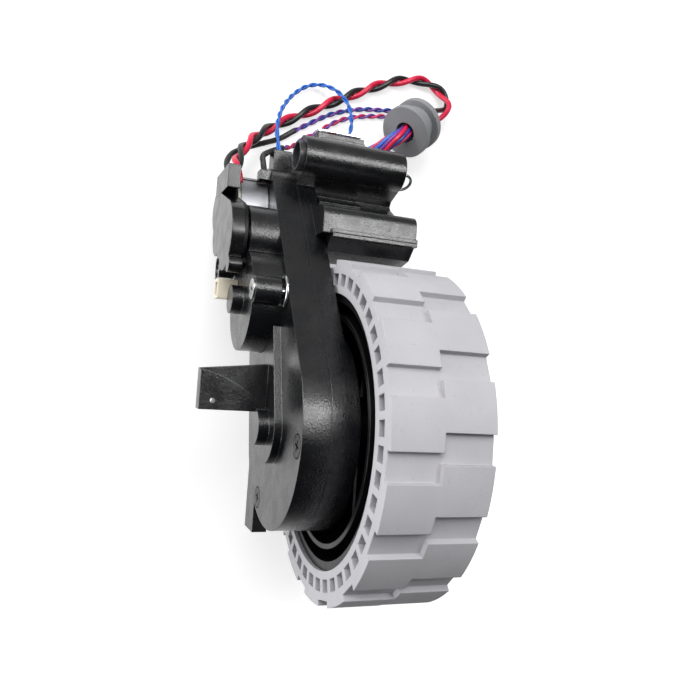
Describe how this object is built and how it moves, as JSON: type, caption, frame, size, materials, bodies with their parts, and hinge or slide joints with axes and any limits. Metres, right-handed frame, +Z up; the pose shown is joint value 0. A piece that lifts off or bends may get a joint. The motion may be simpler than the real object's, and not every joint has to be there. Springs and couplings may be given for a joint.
{
  "type": "robot vacuum drive wheel module",
  "caption": "Geared drive arm of a robot vacuum: a treaded gray tyre on a black arm with its motor, gear train, encoder, pivot tube and twisted leads.",
  "frame": {"origin": "on the pivot axis, in the plane where the two gear case halves meet", "axes": "+X from the pivot towards the wheel, +Y along the axles away from the gear case, +Z up; the module lies on its tyre and its motor barrel"},
  "size_m": [0.128, 0.0672, 0.07],
  "materials": {
    "case_black": "black moulded plastic with a slight sheen",
    "cover_black": "black moulded plastic, smoother",
    "plate_steel": "plated steel sheet",
    "screw_steel": "bright plated steel",
    "screw_black": "blackened steel",
    "pin_steel": "ground steel",
    "race_steel": "polished bearing steel",
    "bell_nylon": "natural nylon",
    "magnet_dark": "bonded magnet",
    "winding": "lacquered copper winding on a stack",
    "commutator": "copper",
    "pinion_brass": "turned brass",
    "gear_acetal": "white acetal",
    "hub_black": "black moulded plastic",
    "tread_gray": "light gray rubber, matte",
    "board_green": "circuit board",
    "chip_black": "sensor package",
    "plug_cream": "cream nylon",
    "button_red": "red plastic",
    "grommet_gray": "gray rubber",
    "lead_red_black": "red and black insulation, twisted",
    "lead_thin": "thin red, blue and purple insulation, twisted",
    "lead_blue": "blue insulation, twisted",
    "lead_bundle": "bundle of all the leads"
  },
  "bodies": {
    "gearcase": {"outer_housing": "case_black", "inner_housing": "case_black", "motor_bay_cover": "case_black", "second_stage_cover": "case_black", "first_stage_plate": "plate_steel", "first_stage_cover": "cover_black", "terminal_cover": "cover_black", "pivot_bush": "case_black", "case_screws": "screw_black", "cover_screws": "screw_steel", "motor_can": "plate_steel", "motor_end_bell": "bell_nylon", "motor_magnets": "magnet_dark", "flux_ring": "plate_steel", "transfer_pin": "pin_steel", "stage_one_pin": "pin_steel", "stage_two_pin": "pin_steel", "stage_three_pin": "pin_steel", "inner_bush": "pinion_brass", "bearing_outer_race": "race_steel", "bearing_balls": "race_steel", "encoder_board": "board_green", "encoder_sensor": "chip_black", "encoder_connector": "plug_cream", "drop_switch": "case_black", "spring_hook": "pin_steel", "boss_clip": "pin_steel", "lead_clip": "case_black", "grommet": "grommet_gray", "harness_plug": "cover_black", "motor_lead": "lead_red_black", "sensor_lead_a": "lead_thin", "sensor_lead_b": "lead_thin", "switch_lead": "lead_blue", "harness": "lead_bundle"},
    "wheel": {"output_gear": "gear_acetal", "output_shaft": "pin_steel", "bearing_inner_race": "race_steel", "wheel_hub": "hub_black", "tyre": "tread_gray", "wheel_cap": "hub_black", "wheel_screw": "screw_steel", "wheel_washer": "screw_steel"},
    "idler_three": {"stage_three_gear": "gear_acetal"},
    "idler_two": {"stage_two_gear": "gear_acetal", "encoder_magnet": "magnet_dark"},
    "idler_one": {"stage_one_gear": "gear_acetal"},
    "transfer": {"transfer_gear": "gear_acetal"},
    "rotor": {"motor_shaft": "pin_steel", "motor_armature": "winding", "motor_commutator": "commutator", "motor_pinion": "pinion_brass"},
    "lever": {"switch_lever": "pin_steel"},
    "plunger": {"switch_plunger": "button_red"}
  },
  "joints": [
    {"name": "wheel_spin", "type": "hinge", "parent": "gearcase", "child": "wheel", "pos_m": [0.0595, 0, 0.013], "axis": [0, 1, 0], "continuous": true},
    {"name": "idler_three_spin", "type": "hinge", "parent": "gearcase", "child": "idler_three", "pos_m": [0.04645, 0, 0.00009], "axis": [0, 1, 0], "continuous": true},
    {"name": "idler_two_spin", "type": "hinge", "parent": "gearcase", "child": "idler_two", "pos_m": [0.0339, 0, 0.0045], "axis": [0, 1, 0], "continuous": true},
    {"name": "idler_one_spin", "type": "hinge", "parent": "gearcase", "child": "idler_one", "pos_m": [0.02002, 0, 0.00065], "axis": [0, 1, 0], "continuous": true},
    {"name": "transfer_spin", "type": "hinge", "parent": "gearcase", "child": "transfer", "pos_m": [0.01781, -0.0145, -0.0091], "axis": [0, 1, 0], "continuous": true},
    {"name": "rotor_spin", "type": "hinge", "parent": "gearcase", "child": "rotor", "pos_m": [0.0124, 0, -0.0127], "axis": [0, 1, 0], "continuous": true},
    {"name": "lever_hinge", "type": "hinge", "parent": "gearcase", "child": "lever", "pos_m": [-0.00887, 0.0058, -0.0074], "axis": [0, 0, -1], "range_deg": [0, 3.2], "stiffness_Nm_per_rad": 0.004},
    {"name": "plunger_slide", "type": "slide", "parent": "gearcase", "child": "plunger", "axis": [1, 0, 0], "range_m": [0, 0.0003]}
  ],
  "couplings": [
    {"joint": "idler_three_spin", "follows": "wheel_spin", "ratio": -3.6364},
    {"joint": "idler_two_spin", "follows": "wheel_spin", "ratio": 7.8788},
    {"joint": "idler_one_spin", "follows": "wheel_spin", "ratio": -13.131},
    {"joint": "transfer_spin", "follows": "wheel_spin", "ratio": 19.697},
    {"joint": "rotor_spin", "follows": "wheel_spin", "ratio": -31.515},
    {"joint": "plunger_slide", "follows": "lever_hinge", "m_per_rad": 0.0035}
  ]
}
